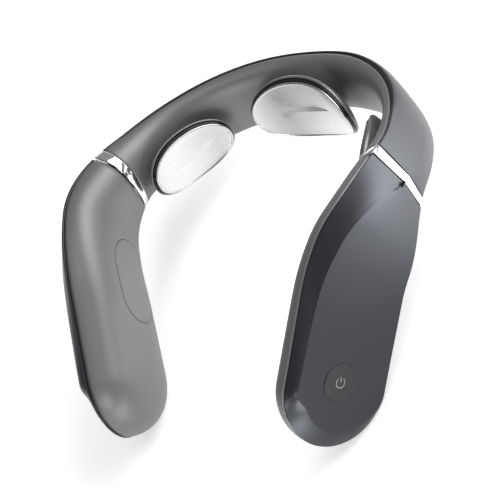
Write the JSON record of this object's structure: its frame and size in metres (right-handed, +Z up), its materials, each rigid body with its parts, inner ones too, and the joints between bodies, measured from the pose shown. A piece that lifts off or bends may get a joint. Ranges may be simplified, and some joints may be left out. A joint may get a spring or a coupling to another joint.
{
  "type": "neck massager",
  "caption": "U-shaped neck massager with two sprung arms, floating brushed-metal massage heads on bellows, chrome joint rings and a power button.",
  "frame": {"origin": "centre of the bounding box in plan, on the surface the massager stands on", "axes": "+Z up, -Y towards the arm tips, +X towards the arm with the power button"},
  "size_m": [0.1594, 0.164, 0.0651],
  "materials": {
    "brushed_plate": "fine brushed stainless steel",
    "insulator": "gloss black",
    "head_cup": "satin mid grey, soft touch",
    "bellows_rubber": "satin dark grey silicone",
    "chrome_trim": "mirror chrome",
    "seam_gasket": "black",
    "inner_shell": "satin mid grey, soft touch",
    "outer_shell": "dark slate metallic paint, satin clear coat",
    "button_cap": "satin black",
    "battery_wrap": "shrink wrap",
    "circuit_board": "solder mask",
    "spring_steel": "spring steel",
    "bare_steel": "bright steel",
    "inner_plastic": "black moulded"
  },
  "bodies": {
    "bridge": {"bridge_inner_cover": "inner_shell", "bridge_outer_cover": "outer_shell", "bridge_seam_gasket": "seam_gasket", "bridge_steel_band": "spring_steel", "centre_bellows": "bellows_rubber", "centre_guide_bush": "inner_plastic", "centre_plunge_spring": "spring_steel", "left_bellows": "bellows_rubber", "left_chrome_ring": "chrome_trim", "left_guide_bush": "inner_plastic", "left_hinge_bracket": "bare_steel", "left_hinge_pin": "bare_steel", "left_plunge_spring": "spring_steel", "left_torsion_spring": "spring_steel", "right_bellows": "bellows_rubber", "right_chrome_ring": "chrome_trim", "right_guide_bush": "inner_plastic", "right_hinge_bracket": "bare_steel", "right_hinge_pin": "bare_steel", "right_plunge_spring": "spring_steel", "right_torsion_spring": "spring_steel"},
    "left_arm": {"left_arm_frame": "inner_plastic", "left_arm_gasket": "seam_gasket", "left_arm_inlay": "inner_shell", "left_arm_inner_shell": "inner_shell", "left_arm_outer_shell": "outer_shell", "left_arm_screws": "bare_steel", "left_battery": "battery_wrap"},
    "right_arm": {"main_board": "circuit_board", "right_arm_frame": "inner_plastic", "right_arm_gasket": "seam_gasket", "right_arm_inner_shell": "inner_shell", "right_arm_outer_shell": "outer_shell", "right_arm_screws": "bare_steel", "right_battery": "battery_wrap", "tact_switch": "inner_plastic", "usb_socket": "bare_steel"},
    "power_button": {"power_button": "button_cap"},
    "left_plunger": {"left_plunger": "inner_plastic"},
    "left_gimbal": {"left_gimbal_ring": "bare_steel"},
    "left_head": {"left_electrode_plate": "brushed_plate", "left_head_cup": "head_cup", "left_insulating_ring": "insulator"},
    "centre_plunger": {"centre_plunger": "inner_plastic"},
    "centre_gimbal": {"centre_gimbal_ring": "bare_steel"},
    "centre_head": {"centre_electrode_plate": "brushed_plate", "centre_head_cup": "head_cup", "centre_insulating_ring": "insulator"},
    "right_plunger": {"right_plunger": "inner_plastic"},
    "right_gimbal": {"right_gimbal_ring": "bare_steel"},
    "right_head": {"right_electrode_plate": "brushed_plate", "right_head_cup": "head_cup", "right_insulating_ring": "insulator"}
  },
  "joints": [
    {"name": "left_arm_flex", "type": "hinge", "parent": "bridge", "child": "left_arm", "pos_m": [-0.07328, 0.01724, 0.04083], "axis": [-0.0889, -0.2815, -0.9554], "range_deg": [0, 8], "stiffness_Nm_per_rad": 1.5, "springref_deg": -3.44, "deforming": ["left_torsion_spring"]},
    {"name": "right_arm_flex", "type": "hinge", "parent": "bridge", "child": "right_arm", "pos_m": [0.07328, 0.01724, 0.04083], "axis": [-0.0889, 0.2815, 0.9554], "range_deg": [0, 8], "stiffness_Nm_per_rad": 1.5, "springref_deg": -3.44, "deforming": ["right_torsion_spring"]},
    {"name": "left_head_plunge", "type": "slide", "parent": "bridge", "child": "left_plunger", "axis": [-0.8967, 0.4302, -0.1044], "range_m": [0, 0.0015], "stiffness_N_per_m": 300, "springref_m": -0.002, "deforming": ["left_bellows", "left_plunge_spring"]},
    {"name": "left_head_yaw", "type": "hinge", "parent": "left_plunger", "child": "left_gimbal", "pos_m": [-0.05356, 0.03742, 0.02786], "axis": [0.0757, 0.3813, 0.9213], "range_deg": [-5, 5], "stiffness_Nm_per_rad": 0.08},
    {"name": "left_head_pitch", "type": "hinge", "parent": "left_gimbal", "child": "left_head", "pos_m": [-0.05356, 0.03742, 0.02786], "axis": [0.4362, 0.8182, -0.3745], "range_deg": [-5, 5], "stiffness_Nm_per_rad": 0.08},
    {"name": "centre_head_plunge", "type": "slide", "parent": "bridge", "child": "centre_plunger", "axis": [0, 0.9373, -0.3486], "range_m": [0, 0.0015], "stiffness_N_per_m": 300, "springref_m": -0.002, "deforming": ["centre_bellows", "centre_plunge_spring"]},
    {"name": "centre_head_yaw", "type": "hinge", "parent": "centre_plunger", "child": "centre_gimbal", "pos_m": [0, 0.0625, 0.02048], "axis": [0, 0.3486, 0.9373], "range_deg": [-5, 5], "stiffness_Nm_per_rad": 0.08},
    {"name": "centre_head_pitch", "type": "hinge", "parent": "centre_gimbal", "child": "centre_head", "pos_m": [0, 0.0625, 0.02048], "axis": [1, 0, 0], "range_deg": [-5, 5], "stiffness_Nm_per_rad": 0.08},
    {"name": "right_head_plunge", "type": "slide", "parent": "bridge", "child": "right_plunger", "axis": [0.8967, 0.4302, -0.1044], "range_m": [0, 0.0015], "stiffness_N_per_m": 300, "springref_m": -0.002, "deforming": ["right_bellows", "right_plunge_spring"]},
    {"name": "right_head_yaw", "type": "hinge", "parent": "right_plunger", "child": "right_gimbal", "pos_m": [0.05356, 0.03742, 0.02786], "axis": [-0.0757, 0.3813, 0.9213], "range_deg": [-5, 5], "stiffness_Nm_per_rad": 0.08},
    {"name": "right_head_pitch", "type": "hinge", "parent": "right_gimbal", "child": "right_head", "pos_m": [0.05356, 0.03742, 0.02786], "axis": [0.4362, -0.8182, 0.3745], "range_deg": [-5, 5], "stiffness_Nm_per_rad": 0.08},
    {"name": "power_button_press", "type": "slide", "parent": "right_arm", "child": "power_button", "axis": [-0.949, 0.3096, -0.0592], "range_m": [0, 0.0006], "stiffness_N_per_m": 400, "springref_m": -0.0005}
  ]
}
